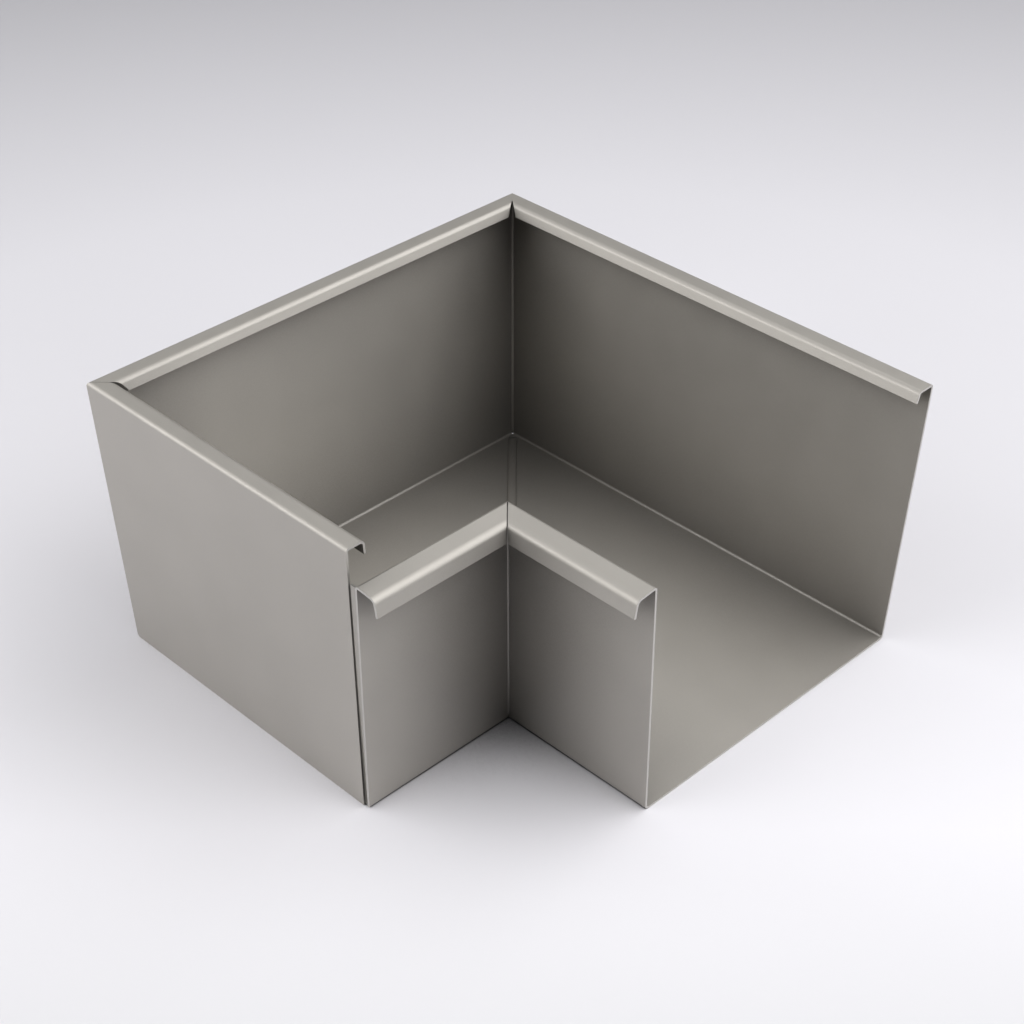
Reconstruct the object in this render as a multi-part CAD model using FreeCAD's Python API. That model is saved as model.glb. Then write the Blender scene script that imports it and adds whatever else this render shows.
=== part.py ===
import FreeCAD, Part
import math
import os

# Right-angled corner of an open-top box gutter, folded from coated sheet.
# Two channel legs are mitred together, and a stop end closes one of them.
# Lengths are in millimetres and angles in degrees.
# While it is built, the outer faces of the two tall walls meet the underside at x = y = 0.
# The open leg runs from there along +X and the closed leg along -Y.

# Sheet and folds
sheet = 0.8
rim_fold_radius = 0.4       # inside radii of the folds
floor_fold_radius = 1.0
stop_fold_radius = 0.6      # at the top of the stop end

# Channel, measured over the outside of the sheet
floor_width = 125.0
back_height = 101.5         # the tall walls, on the outer side of the corner
front_height = 90.0         # the low walls, round the notch
back_lean = 6.0             # how far the tall walls lean out from upright
open_leg_length = 187.5
closed_leg_length = 187.5

# Rolled lips: a flange, a roll, and a short drop that kicks away from its wall
back_lip_width = 7.3
back_lip_drop = 4.0
back_lip_kick = 20.0        # drop to upright
back_roll_radius = 1.1      # inside radius
stop_lip_drop = 5.0         # the stop end's lip, with the same flange and roll
stop_lip_kick = 3.0
front_lip_reach = 7.1       # from the wall's outer face to the inside of the lip's corner
front_lip_fall = 6.0        # flange to level
front_lip_drop = 7.2
front_lip_kick = 11.0       # drop to upright
front_roll_radius = 1.8     # inside radius

# Tapered tab inside the end of the closed leg's low wall, beside the stop end
end_tab_top = 2.6
end_tab_foot = 0.6
end_tab_setback = 0.4       # behind the wall's cut edge

# Seams and clearances; the walls and floors butt together
front_lip_gap = 0.4         # between the low lips at their mitre
stop_lip_gap = 0.15         # between the stop end's lip and the tall lip beside it
lip_notch_start = 5.0       # where the V between two tall lips begins, from the rim's outer face
lip_notch_roll_width = 0.9  # its opening at the roll
lip_notch_tip_width = 1.9   # its opening at the tips of the drops
corner_relief_diameter = 0.6
stop_gap_top = 0.7          # stop end to the tab beside it, at the tab's top
stop_gap_foot = 1.4         # stop end to the tab beside it, at the floor

# Derived sizes
lean = math.radians(back_lean)
rim_outer_radius = rim_fold_radius + sheet
floor_outer_radius = floor_fold_radius + sheet
rim_outset = back_height * math.tan(lean)
cutter_size = 3 * (open_leg_length + closed_leg_length + floor_width + back_height)
spare = 5 * sheet           # how far cutters run past what they cut
up = FreeCAD.Vector(0, 0, 1)


def left_of(direction):
    return FreeCAD.Vector(-direction.y, direction.x, 0)


def direction_between(start, end):
    return (end - start).normalize()


def offset_to_left(points, distance):
    """Corners of the line that runs a fixed distance to the left of a line of points."""
    runs = [direction_between(a, b) for a, b in zip(points, points[1:])]
    moved = [points[0] + left_of(runs[0]) * distance]
    for corner, before, after in zip(points[1:], runs, runs[1:]):
        normals = left_of(before) + left_of(after)
        moved.append(corner + normals * (distance / (1 + left_of(before).dot(left_of(after)))))
    moved.append(points[-1] + left_of(runs[-1]) * distance)
    return moved


def rounded_line(points, radii):
    """Edges through the points, with a tangent arc of the given radius at each inner point."""
    edges = []
    start = points[0]
    for before, corner, after, radius in zip(points, points[1:], points[2:], radii):
        arriving = direction_between(before, corner)
        leaving = direction_between(corner, after)
        half_turn = arriving.getAngle(leaving) / 2
        arc_start = corner - arriving * (radius * math.tan(half_turn))
        arc_end = corner + leaving * (radius * math.tan(half_turn))
        inward = (leaving - arriving).normalize()
        arc_middle = corner + inward * (radius / math.cos(half_turn) - radius)
        edges.append(Part.LineSegment(start, arc_start).toShape())
        edges.append(Part.Arc(arc_start, arc_middle, arc_end).toShape())
        start = arc_end
    edges.append(Part.LineSegment(start, points[-1]).toShape())
    return edges


def folded_face(points, inside_radii):
    """Section of a folded sheet whose right-hand face follows the points."""
    right_radii = []
    left_radii = []
    for before, corner, after, radius in zip(points, points[1:], points[2:], inside_radii):
        turn = direction_between(before, corner).cross(direction_between(corner, after)).z
        right_radii.append(radius + sheet if turn > 0 else radius)
        left_radii.append(radius if turn > 0 else radius + sheet)
    left_points = offset_to_left(points, sheet)
    edges = rounded_line(points, right_radii)
    edges.append(Part.LineSegment(points[-1], left_points[-1]).toShape())
    edges.extend(rounded_line(list(reversed(left_points)), list(reversed(left_radii))))
    edges.append(Part.LineSegment(left_points[0], points[0]).toShape())
    return Part.Face(Part.Wire(edges))


def stand(face, corner, across):
    """Stand a section up at a corner, with its first axis along the given level direction."""
    standing = face.copy()
    turn = FreeCAD.Rotation(across, up, across.cross(up), "XYZ")
    standing.Placement = FreeCAD.Placement(corner, turn)
    return standing


def half_space(point, normal):
    """Large block on one side of the plane through a point."""
    corner = FreeCAD.Vector(-cutter_size / 2, -cutter_size / 2, 0)
    block = Part.makeBox(cutter_size, cutter_size, cutter_size, corner)
    block.Placement = FreeCAD.Placement(point, FreeCAD.Rotation(up, normal))
    return block


def prism(corners, sweep):
    """Flat polygon through the corners, swept along a straight line."""
    return Part.Face(Part.makePolygon(corners + corners[:1])).extrude(sweep)


def tall_lip_points(rim_x, drop, kick):
    """Lip at the tall walls' height, from the tip of its drop to the outer edge of the rim."""
    corner = FreeCAD.Vector(rim_x + back_lip_width, back_height, 0)
    tip = corner + FreeCAD.Vector(drop * math.tan(math.radians(kick)), -drop, 0)
    return [tip, corner, FreeCAD.Vector(rim_x, back_height, 0)]


def channel_section():
    """Leg section: lip, leaning tall wall, floor, upright low wall, lip turned outwards."""
    wall_top = FreeCAD.Vector(floor_width, front_height - sheet, 0)
    fall = front_lip_reach * math.tan(math.radians(front_lip_fall))
    drop = front_lip_drop - sheet - fall
    lip_corner = wall_top + FreeCAD.Vector(front_lip_reach, -fall, 0)
    points = tall_lip_points(-rim_outset, back_lip_drop, back_lip_kick) + [
        FreeCAD.Vector(0, 0, 0),
        FreeCAD.Vector(floor_width, 0, 0),
        wall_top,
        lip_corner,
        lip_corner + FreeCAD.Vector(drop * math.tan(math.radians(front_lip_kick)), -drop, 0),
    ]
    radii = [
        back_roll_radius,
        rim_fold_radius,
        floor_fold_radius,
        floor_fold_radius,
        rim_fold_radius,
        front_roll_radius,
    ]
    return folded_face(points, radii)


def stop_end_section():
    """Stop end section: a lip like the tall walls' on an upright plate."""
    points = tall_lip_points(0, stop_lip_drop, stop_lip_kick) + [FreeCAD.Vector(0, 0, 0)]
    return folded_face(points, [back_roll_radius, stop_fold_radius])


def mitre_half(side):
    """What one leg keeps at the mitre: side is 1 for the open leg and -1 for the closed leg."""
    return half_space(FreeCAD.Vector(0, 0, 0), FreeCAD.Vector(side, side, 0))


def lip_notch(rim_corner, inward):
    """V between two tall lips at a mitre: begins on the flange and widens to the roll and the tips."""
    along = inward.normalize()
    across = left_of(along)
    slope = (lip_notch_tip_width - lip_notch_roll_width) / 2 / back_lip_drop
    rise = lip_notch_roll_width / 2 / slope
    run = (back_lip_width - lip_notch_start) * math.sqrt(2)
    depth = rise + back_lip_drop + spare
    apex = rim_corner + along * (lip_notch_start * math.sqrt(2))
    foot = apex - up * depth
    half_width = across * (slope * depth)
    return prism([apex, foot + half_width, foot - half_width], (along * run + up * rise) * 2)


def rear_lip_notch():
    return lip_notch(FreeCAD.Vector(-rim_outset, rim_outset, back_height), FreeCAD.Vector(1, -1, 0))


def stop_lip_notch():
    rim_corner = FreeCAD.Vector(-rim_outset, -closed_leg_length, back_height)
    return lip_notch(rim_corner, FreeCAD.Vector(1, 1, 0))


def front_lip_slot():
    """Slot between the two low lips, from the walls' corner outwards along the mitre."""
    along = FreeCAD.Vector(1, -1, 0).normalize()
    across = left_of(along) * (front_lip_gap / 2)
    start = FreeCAD.Vector(floor_width, -floor_width, 0)
    end = start + along * ((front_lip_reach + front_lip_drop + spare) * math.sqrt(2))
    corners = [start - across, end - across, end + across, start + across]
    return prism(corners, up * back_height)


def corner_relief():
    """Small hole through the corner where the floor fold and both tall walls meet."""
    axis = FreeCAD.Vector(1, -1, 1).normalize()
    length = 4 * floor_outer_radius
    return Part.makeCylinder(corner_relief_diameter / 2, 2 * length, axis * -length, axis)


def stop_lip_mitre(leg_side):
    """What is cut off a lip at the stop end: off the leg's lip, or off the stop end's own."""
    half_gap = stop_lip_gap / math.sqrt(2)
    far = back_lip_width + spare
    depth = max(back_lip_drop, stop_lip_drop) + sheet
    corners = [
        (sheet, sheet + half_gap),
        (far, far + half_gap),
        (far, -spare),
        (sheet, -spare),
    ]
    if not leg_side:
        corners = [(b, a) for a, b in corners]
    low = back_height - depth
    plan = [FreeCAD.Vector(x - rim_outset, y - closed_leg_length, low) for x, y in corners]
    return prism(plan, up * (depth + spare))


def end_tab():
    """Narrow tab on the inner face of the closed leg's low wall, tapered towards the foot."""
    wall_face = FreeCAD.Vector(floor_width - sheet, -closed_leg_length + end_tab_setback, 0)
    foot = wall_face + up * floor_outer_radius
    top = wall_face + up * (front_height - rim_outer_radius)
    into_wall = FreeCAD.Vector(sheet / 2, 0, 0)
    corners = [
        foot - FreeCAD.Vector(end_tab_foot, 0, 0),
        top - FreeCAD.Vector(end_tab_top, 0, 0),
        top + into_wall,
        foot + into_wall,
    ]
    return prism(corners, FreeCAD.Vector(0, sheet, 0))


def open_leg():
    face = stand(channel_section(), FreeCAD.Vector(-spare - rim_outset, 0, 0), FreeCAD.Vector(0, -1, 0))
    strip = face.extrude(FreeCAD.Vector(open_leg_length + spare + rim_outset, 0, 0))
    leg = strip.common(mitre_half(1))
    return leg.cut(rear_lip_notch()).cut(front_lip_slot()).cut(corner_relief())


def closed_leg():
    face = stand(channel_section(), FreeCAD.Vector(0, spare + rim_outset, 0), FreeCAD.Vector(1, 0, 0))
    strip = face.extrude(FreeCAD.Vector(0, -closed_leg_length - spare - rim_outset, 0))
    leg = strip.common(mitre_half(-1))
    leg = leg.cut(rear_lip_notch()).cut(front_lip_slot()).cut(corner_relief())
    # The floor and the tall wall end against the stop end; the low wall runs on beside it.
    seat = Part.makeBox(
        cutter_size,
        sheet + spare,
        cutter_size,
        FreeCAD.Vector(floor_width - sheet - cutter_size, -closed_leg_length - spare, -spare),
    )
    leg = leg.cut(seat).cut(stop_lip_mitre(leg_side=True)).cut(stop_lip_notch())
    return leg.fuse(end_tab())


def stop_end():
    start = FreeCAD.Vector(-rim_outset - spare, -closed_leg_length, 0)
    face = stand(stop_end_section(), start, FreeCAD.Vector(0, 1, 0))
    strip = face.extrude(FreeCAD.Vector(rim_outset + floor_width + spare, 0, 0))
    # Its outline follows the outside of the tall wall and floor, and clears the low wall's tab.
    wall_face = floor_width - sheet
    outline = [
        FreeCAD.Vector(wall_face - end_tab_top - stop_gap_top, back_height, 0),
        FreeCAD.Vector(-rim_outset, back_height, 0),
        FreeCAD.Vector(0, 0, 0),
        FreeCAD.Vector(wall_face - end_tab_foot - stop_gap_foot, 0, 0),
    ]
    edges = rounded_line(outline, [rim_outer_radius, floor_outer_radius])
    edges.append(Part.LineSegment(outline[-1], outline[0]).toShape())
    front = FreeCAD.Vector(0, -closed_leg_length - spare, 0)
    profile = stand(Part.Face(Part.Wire(edges)), front, FreeCAD.Vector(1, 0, 0))
    block = profile.extrude(FreeCAD.Vector(0, back_lip_width + 4 * spare, 0))
    return strip.common(block).cut(stop_lip_mitre(leg_side=False)).cut(stop_lip_notch())


pieces = {
    "open_leg": open_leg(),
    "closed_leg": closed_leg(),
    "stop_end": stop_end(),
}

# The origin is under the middle of the whole corner, on the surface it stands on.
extent = Part.makeCompound(list(pieces.values())).optimalBoundingBox(False)
origin = FreeCAD.Vector(extent.Center.x, extent.Center.y, extent.ZMin)

os.makedirs("parts", exist_ok=True)
for name, shape in pieces.items():
    shape.translate(origin * -1)
    solid = shape.removeSplitter()
    print(name, len(solid.Solids), solid.isValid(), round(solid.Volume, 1), solid.optimalBoundingBox(False))
    solid.exportStep("parts/" + name + ".step")
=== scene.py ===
import math

import bpy
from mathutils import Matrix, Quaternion, Vector, noise


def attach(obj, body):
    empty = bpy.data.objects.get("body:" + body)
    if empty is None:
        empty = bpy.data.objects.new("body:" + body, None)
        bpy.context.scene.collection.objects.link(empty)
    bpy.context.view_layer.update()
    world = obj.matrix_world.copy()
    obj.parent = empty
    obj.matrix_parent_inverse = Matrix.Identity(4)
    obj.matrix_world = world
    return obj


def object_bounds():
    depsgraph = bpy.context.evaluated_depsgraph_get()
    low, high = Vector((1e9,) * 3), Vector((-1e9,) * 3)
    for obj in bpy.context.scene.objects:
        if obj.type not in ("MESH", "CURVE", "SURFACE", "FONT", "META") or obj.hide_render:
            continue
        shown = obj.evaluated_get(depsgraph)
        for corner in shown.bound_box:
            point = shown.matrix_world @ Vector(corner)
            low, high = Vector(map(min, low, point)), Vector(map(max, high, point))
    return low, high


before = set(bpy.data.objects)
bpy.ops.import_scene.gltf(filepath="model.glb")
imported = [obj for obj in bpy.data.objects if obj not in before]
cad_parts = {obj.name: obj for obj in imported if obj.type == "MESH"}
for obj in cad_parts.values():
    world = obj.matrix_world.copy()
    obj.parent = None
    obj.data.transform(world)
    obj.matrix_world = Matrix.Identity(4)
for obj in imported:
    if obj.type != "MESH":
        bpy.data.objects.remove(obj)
cad_low, cad_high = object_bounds()

# Sizes of the sheet part that the looks follow, in metres
SHEET = 0.0008
FLOOR_WIDTH = 0.125
LEG_LENGTH = 0.1875
BACK_HEIGHT = 0.1015
FRONT_HEIGHT = 0.090
BACK_LEAN = math.radians(6.0)
REAR_FOOT = Vector((cad_high.x - LEG_LENGTH, cad_low.y + LEG_LENGTH, 0))

# Camera, from the photograph's edges: angles in degrees, lens and sensor in millimetres
CAMERA_AZIMUTH = 45.58
CAMERA_ELEVATION = 35.39
CAMERA_ROLL = -0.20
CAMERA_DISTANCE = 0.7123
CAMERA_TARGET = Vector((-0.00366, 0.00479, 0.0450))
CAMERA_LENS = 71.79
SENSOR_WIDTH = 36.0

# Studio lamps: azimuth from the camera, elevation, distance, width and height, power in watts
LAMPS = {
    "left_softbox_low": (-82, 20, 1.6, (2.0, 1.0), 16.2),
    "left_softbox_mid": (-90, 45, 1.5, (1.6, 0.9), 6.7),
    "right_softbox_low": (80, 20, 1.6, (2.0, 1.0), 6.0),
    "right_softbox_mid": (90, 40, 1.5, (2.4, 1.5), 24.0),
    "right_softbox_high": (90, 65, 1.5, (1.6, 0.9), 3.4),
    "back_softbox": (180, 60, 1.6, (2.0, 1.0), 7.4),
    "front_softbox": (0, 65, 1.5, (1.2, 0.8), 3.6),
}

# Studio floor: its colours from front to back with painted light, its painted fall-off of light,
# and its painted shadow in the notch
FLOOR_SIZE = 12.0
FLOOR_DEPTHS = (-0.25, 0.65)
FLOOR_PAINTED_LIGHT_COLOURS = {
    0.00: (0.625, 0.625, 0.640),
    0.16: (0.790, 0.780, 0.815),
    0.50: (0.660, 0.652, 0.685),
    1.00: (0.555, 0.549, 0.579),
}
PAINTED_FALLOFF_REACH = (0.35, 1.3)
PAINTED_FALLOFF_DARKEST = 0.40
FLOOR_ROUGHNESS = 0.5
FLOOR_SPECULAR = 0.05
NOTCH_SHADOW_REACH = 0.055
NOTCH_SHADOW_OPENNESS = (0.24, 0.44)
NOTCH_SHADOW_DARKEST = 0.13
NOTCH_SHADOW_RAYS = 12

# Coated sheet, and its cut edges in a lighter colour: a painted highlight where the edges catch
# light
COAT_COLOUR = (0.421, 0.400, 0.369)
EDGE_HIGHLIGHT_COLOUR = (0.50, 0.485, 0.46)
COAT_METALLIC = 0.6
COAT_ROUGHNESS = (0.44, 0.48)
EDGE_ROUGHNESS = (0.32, 0.40)
NOISE_SPREAD = (0.3, 0.7)
MOTTLE_SCALE = 55
MOTTLE_DETAIL = 4
MOTTLE_RANGE = (0.98, 1.02)
DULLING_SCALE = 110
DULLING_DETAIL = 3
GRAIN_SCALE = 2600
GRAIN_DETAIL = 2
GRAIN_DEPTH = 0.00004
# Painted shade in inside corners: its reach, openness, darkest factor and rays
CORNER_SHADE_REACH = 0.05
CORNER_SHADE_OPENNESS = (0.35, 1.0)
CORNER_SHADE_DARKEST = 0.40
CORNER_SHADE_RAYS = 4
EDGE_PROBE_START = SHEET / 100
EDGE_DEPTH = 2 * SHEET

# Seam beads: half width and half height, and where they start
REAR_BEAD = (0.00065, 0.00065)
REAR_BEAD_START = 1.2 * SHEET
NOTCH_BEAD = (0.0004, 0.0004)
NOTCH_BEAD_START = 3 * SHEET
FLOOR_BEAD = (0.0018, 0.0007)
FLOOR_BEAD_INSET = 0.003
BEAD_SIDES = 16
BEAD_STEP = 0.0012
BEAD_WAVES = 400
BEAD_UNEVENNESS = 0.12


def direction(azimuth, elevation):
    """Unit vector from the object towards a place seen at that azimuth and elevation."""
    a = math.radians(azimuth)
    e = math.radians(elevation)
    return Vector((math.sin(a) * math.cos(e), -math.cos(a) * math.cos(e), math.sin(e)))


def add_object(name, data):
    obj = bpy.data.objects.new(name, data)
    bpy.context.scene.collection.objects.link(obj)
    return obj


def aim(obj, towards):
    obj.rotation_mode = "QUATERNION"
    obj.rotation_quaternion = towards.to_track_quat("-Z", "Y")


def make_camera():
    data = bpy.data.cameras.new("camera")
    data.sensor_width = SENSOR_WIDTH
    data.lens = CAMERA_LENS
    camera = add_object("camera", data)
    back = direction(CAMERA_AZIMUTH, CAMERA_ELEVATION)
    camera.location = CAMERA_TARGET + back * CAMERA_DISTANCE
    aim(camera, -back)
    roll = Quaternion((0, 0, 1), math.radians(CAMERA_ROLL))
    camera.rotation_quaternion = camera.rotation_quaternion @ roll
    bpy.context.scene.camera = camera


def area_light(name, azimuth, elevation, distance, size, power):
    data = bpy.data.lights.new(name, "AREA")
    data.shape = "RECTANGLE"
    data.size, data.size_y = size
    data.energy = power
    light = add_object(name, data)
    back = direction(azimuth, elevation)
    light.location = CAMERA_TARGET + back * distance
    aim(light, -back)


def make_lights():
    """Softboxes alone light the scene; the world behind them is dark."""
    for name, (azimuth, elevation, distance, size, power) in LAMPS.items():
        area_light(name, CAMERA_AZIMUTH + azimuth, elevation, distance, size, power)
    world = bpy.data.worlds.new("studio")
    bpy.context.scene.world = world
    world.use_nodes = True
    world.node_tree.nodes["Background"].inputs["Strength"].default_value = 0


def new_material(name):
    material = bpy.data.materials.new(name)
    material.use_nodes = True
    return material, material.node_tree, material.node_tree.nodes["Principled BSDF"]


def connect(tree, socket, value):
    """Link another node's output to a socket, or set the socket to a plain value."""
    if isinstance(value, bpy.types.NodeSocket):
        tree.links.new(value, socket)
    else:
        socket.default_value = value


def add_node(tree, kind, **inputs):
    node = tree.nodes.new(kind)
    for name, value in inputs.items():
        connect(tree, node.inputs[name], value)
    return node


def noise_value(tree, place, scale, detail):
    node = add_node(tree, "ShaderNodeTexNoise", Vector=place, Scale=scale, Detail=detail)
    return node.outputs["Fac"]


def remapped(tree, value, source, target):
    node = add_node(tree, "ShaderNodeMapRange", Value=value)
    node.inputs["From Min"].default_value, node.inputs["From Max"].default_value = source
    node.inputs["To Min"].default_value, node.inputs["To Max"].default_value = target
    return node.outputs["Result"]


def product(tree, first, second):
    node = tree.nodes.new("ShaderNodeMath")
    node.operation = "MULTIPLY"
    connect(tree, node.inputs[0], first)
    connect(tree, node.inputs[1], second)
    return node.outputs["Value"]


def measure(tree, operation, *vectors):
    """Number that an operation on vectors gives, such as a length."""
    node = tree.nodes.new("ShaderNodeVectorMath")
    node.operation = operation
    for socket, vector in zip(node.inputs, vectors):
        connect(tree, socket, vector)
    return node.outputs["Value"]


def scaled(tree, colour, factor):
    node = add_node(tree, "ShaderNodeVectorMath")
    node.operation = "SCALE"
    connect(tree, node.inputs[0], colour)
    connect(tree, node.inputs["Scale"], factor)
    return node.outputs["Vector"]


def painted_shade(tree, reach, openness, darkest, rays):
    """Painted shade: factor that darkens a colour to its darkest where little of what is above
    the surface is open.
    """
    node = add_node(tree, "ShaderNodeAmbientOcclusion", Distance=reach)
    node.samples = rays
    return remapped(tree, node.outputs["AO"], openness, (darkest, 1))


def floor_painted_light(tree, place):
    """Painted light: colour that changes from the front of the studio to its back, lighter and
    darker as light falls on the floor.
    """
    depth = measure(tree, "DOT_PRODUCT", place, -direction(CAMERA_AZIMUTH, 0))
    ramp = add_node(tree, "ShaderNodeValToRGB", Fac=remapped(tree, depth, FLOOR_DEPTHS, (0, 1)))
    elements = ramp.color_ramp.elements
    for position in list(FLOOR_PAINTED_LIGHT_COLOURS)[1:-1]:
        elements.new(position)
    for element, colour in zip(elements, FLOOR_PAINTED_LIGHT_COLOURS.values()):
        element.color = (*colour, 1)
    return ramp.outputs["Color"]


def floor_material():
    """Pale floor with painted light and shade: it changes from front to back, darkens far from
    the object, and has a painted shadow deep in the corner's notch.
    """
    material, tree, shader = new_material("studio_floor")
    place = tree.nodes.new("ShaderNodeTexCoord").outputs["Object"]
    # Painted light: the floor darkens with distance from the object, a painted fall-off of
    # light.
    painted_falloff = remapped(tree, measure(tree, "LENGTH", place), PAINTED_FALLOFF_REACH, (1, PAINTED_FALLOFF_DARKEST))
    # Painted shadow: the floor darkens where the object's walls close round it, deepest in the
    # corner's notch.
    notch = painted_shade(tree, NOTCH_SHADOW_REACH, NOTCH_SHADOW_OPENNESS, NOTCH_SHADOW_DARKEST, NOTCH_SHADOW_RAYS)
    tint_with_painted_light = scaled(tree, floor_painted_light(tree, place), product(tree, painted_falloff, notch))
    tree.links.new(tint_with_painted_light, shader.inputs["Base Color"])
    shader.inputs["Roughness"].default_value = FLOOR_ROUGHNESS
    shader.inputs["Specular IOR Level"].default_value = FLOOR_SPECULAR
    return material


def make_floor():
    half = FLOOR_SIZE / 2
    corners = [(-half, -half, 0), (half, -half, 0), (half, half, 0), (-half, half, 0)]
    mesh = bpy.data.meshes.new("studio_floor")
    mesh.from_pydata(corners, [], [(0, 1, 2, 3)])
    mesh.materials.append(floor_material())
    floor = add_object("studio_floor", mesh)
    # The floor shades nothing, so it stays out of the sheet's painted corner shade.
    floor.visible_shadow = False


def sheet_material(name, colour, roughness):
    """Satin sheet finish with a fine grain, faint mottling, and painted shade that darkens
    inside corners.
    """
    material, tree, shader = new_material(name)
    place = tree.nodes.new("ShaderNodeTexCoord").outputs["Object"]
    clouds = noise_value(tree, place, MOTTLE_SCALE, MOTTLE_DETAIL)
    mottle = remapped(tree, clouds, NOISE_SPREAD, MOTTLE_RANGE)
    # Painted shade: the colour darkens in inside corners and folds, where shade falls.
    corner_shade = painted_shade(tree, CORNER_SHADE_REACH, CORNER_SHADE_OPENNESS, CORNER_SHADE_DARKEST, CORNER_SHADE_RAYS)
    tint_with_painted_light = scaled(tree, colour, product(tree, mottle, corner_shade))
    tree.links.new(tint_with_painted_light, shader.inputs["Base Color"])
    smears = noise_value(tree, place, DULLING_SCALE, DULLING_DETAIL)
    tree.links.new(remapped(tree, smears, NOISE_SPREAD, roughness), shader.inputs["Roughness"])
    grain = noise_value(tree, place, GRAIN_SCALE, GRAIN_DETAIL)
    bump = add_node(tree, "ShaderNodeBump", Height=grain, Distance=GRAIN_DEPTH)
    tree.links.new(bump.outputs["Normal"], shader.inputs["Normal"])
    shader.inputs["Metallic"].default_value = COAT_METALLIC
    return material


def is_cut_face(node, face):
    """A face of the sheet's edge has more than the sheet's own thickness behind it."""
    start = face.center - face.normal * EDGE_PROBE_START
    hit, place, normal, index = node.ray_cast(start, -face.normal)
    return hit and (place - start).length > EDGE_DEPTH


def finish_nodes(coat, edge):
    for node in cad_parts.values():
        node.data.materials.clear()
        node.data.materials.append(coat)
        node.data.materials.append(edge)
        for face in node.data.polygons:
            face.material_index = 1 if is_cut_face(node, face) else 0


def bead_vertices(start, end, side, across, ring_count):
    """Rings of points round a straight seam, slightly uneven in size."""
    vertices = []
    for ring in range(ring_count):
        centre = start.lerp(end, ring / (ring_count - 1))
        swell = 1 + BEAD_UNEVENNESS * noise.noise(centre * BEAD_WAVES)
        for corner in range(BEAD_SIDES):
            angle = 2 * math.pi * corner / BEAD_SIDES
            reach = side * math.cos(angle) + across * math.sin(angle)
            vertices.append(centre + reach * swell)
    return vertices


def bead_faces(ring_count):
    """Faces between neighbouring rings and over both ends."""
    faces = []
    for ring in range(ring_count - 1):
        first = ring * BEAD_SIDES
        for corner in range(BEAD_SIDES):
            near = first + corner
            after = first + (corner + 1) % BEAD_SIDES
            faces.append((near, after, after + BEAD_SIDES, near + BEAD_SIDES))
    last = (ring_count - 1) * BEAD_SIDES
    faces.append(tuple(reversed(range(BEAD_SIDES))))
    faces.append(tuple(range(last, last + BEAD_SIDES)))
    return faces


def bead(name, start, end, halves, side, material):
    """Rounded bead along a straight seam, its width measured along one side."""
    across = (end - start).normalized().cross(side)
    ring_count = max(2, round((end - start).length / BEAD_STEP))
    vertices = bead_vertices(start, end, side * halves[0], across * halves[1], ring_count)
    mesh = bpy.data.meshes.new(name)
    mesh.from_pydata(vertices, [], bead_faces(ring_count))
    mesh.shade_smooth()
    mesh.materials.append(material)
    piece = add_object(name, mesh)
    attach(piece, "root")


def rear_corner_point(height):
    """Point where the inner faces of the two tall walls meet, at a height above the ground."""
    inset = SHEET / math.cos(BACK_LEAN) - height * math.tan(BACK_LEAN)
    return REAR_FOOT + Vector((inset, -inset, height))


def notch_corner_point(height):
    """Point where the outer faces of the two low walls meet, at a height above the ground."""
    return REAR_FOOT + Vector((FLOOR_WIDTH, -FLOOR_WIDTH, height))


def make_beads(coat):
    across_mitre = Vector((1, 1, 0)).normalized()
    inset = Vector((FLOOR_BEAD_INSET, -FLOOR_BEAD_INSET, 0))
    rear_ends = rear_corner_point(REAR_BEAD_START), rear_corner_point(BACK_HEIGHT - SHEET)
    notch_ends = notch_corner_point(NOTCH_BEAD_START), notch_corner_point(FRONT_HEIGHT - SHEET)
    floor_ends = rear_corner_point(SHEET) + inset, notch_corner_point(SHEET) - inset
    bead("rear_corner_seam", *rear_ends, REAR_BEAD, across_mitre, coat)
    bead("notch_corner_seam", *notch_ends, NOTCH_BEAD, across_mitre, coat)
    bead("floor_seam", *floor_ends, FLOOR_BEAD, across_mitre, coat)


bpy.context.scene.view_settings.view_transform = "Standard"
make_camera()
make_lights()
make_floor()
coat_with_painted_shade = sheet_material("coated_sheet_with_painted_shade", COAT_COLOUR, COAT_ROUGHNESS)
# The cut edges take a lighter colour, a painted highlight where they catch the light.
edge_painted_highlight = sheet_material("cut_edge_painted_highlight", EDGE_HIGHLIGHT_COLOUR, EDGE_ROUGHNESS)
finish_nodes(coat_with_painted_shade, edge_painted_highlight)
make_beads(coat_with_painted_shade)
